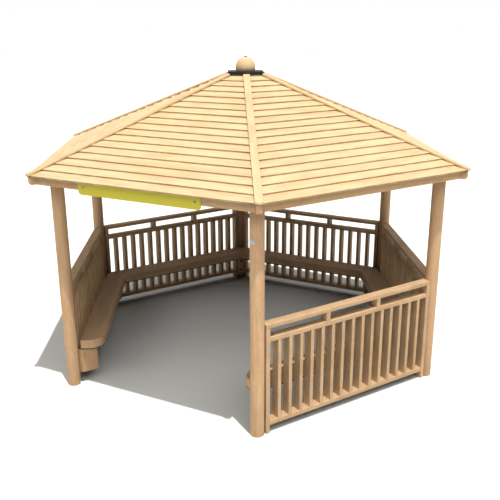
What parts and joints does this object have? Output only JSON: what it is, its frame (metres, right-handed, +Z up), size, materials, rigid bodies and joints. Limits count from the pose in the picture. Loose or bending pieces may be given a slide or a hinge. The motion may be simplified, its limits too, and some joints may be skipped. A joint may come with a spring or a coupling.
{
  "type": "garden gazebo",
  "caption": "Open hexagonal timber gazebo with round posts, a lapped-board pyramid roof, slatted railings, an inside bench and a ball finial, open on the front side.",
  "frame": {"origin": "on the ground at the centre of the hexagonal plan", "axes": "+Z up; -Y out through the open entrance side; +X to the right of someone looking in"},
  "size_m": [4.55, 3.9404, 3.0342],
  "materials": {
    "round_post_timber": "turned softwood, bare",
    "frame_timber": "planed softwood, bare",
    "roof_timber": "planed softwood boards, bare",
    "railing_timber": "planed softwood, bare",
    "bench_timber": "planed softwood, bare",
    "finial_timber": "turned softwood, bare",
    "cap_rubber": "moulded, satin",
    "sign_board": "coloured board, matt"
  },
  "bodies": {
    "root": {"post_front_left": "round_post_timber", "hip_rafter_front_left": "frame_timber", "hip_cover_front_left": "roof_timber", "post_front_right": "round_post_timber", "hip_rafter_front_right": "frame_timber", "hip_cover_front_right": "roof_timber", "post_right": "round_post_timber", "hip_rafter_right": "frame_timber", "hip_cover_right": "roof_timber", "post_back_right": "round_post_timber", "hip_rafter_back_right": "frame_timber", "hip_cover_back_right": "roof_timber", "post_back_left": "round_post_timber", "hip_rafter_back_left": "frame_timber", "hip_cover_back_left": "roof_timber", "post_left": "round_post_timber", "hip_rafter_left": "frame_timber", "hip_cover_left": "roof_timber", "roof_front": "roof_timber", "fascia_front": "frame_timber", "roof_front_right": "roof_timber", "fascia_front_right": "frame_timber", "roof_back_right": "roof_timber", "fascia_back_right": "frame_timber", "roof_back": "roof_timber", "fascia_back": "frame_timber", "roof_back_left": "roof_timber", "fascia_back_left": "frame_timber", "roof_front_left": "roof_timber", "fascia_front_left": "frame_timber", "railing_front_right": "railing_timber", "bench_front_right": "bench_timber", "railing_back_right": "railing_timber", "bench_back_right": "bench_timber", "railing_back": "railing_timber", "bench_back": "bench_timber", "railing_back_left": "railing_timber", "bench_back_left": "bench_timber", "railing_front_left": "railing_timber", "bench_front_left": "bench_timber", "bench_blocks": "bench_timber", "apex_hub": "frame_timber", "apex_cap": "cap_rubber", "finial_ball": "finial_timber", "sign_plate": "sign_board"}
  },
  "joints": []
}
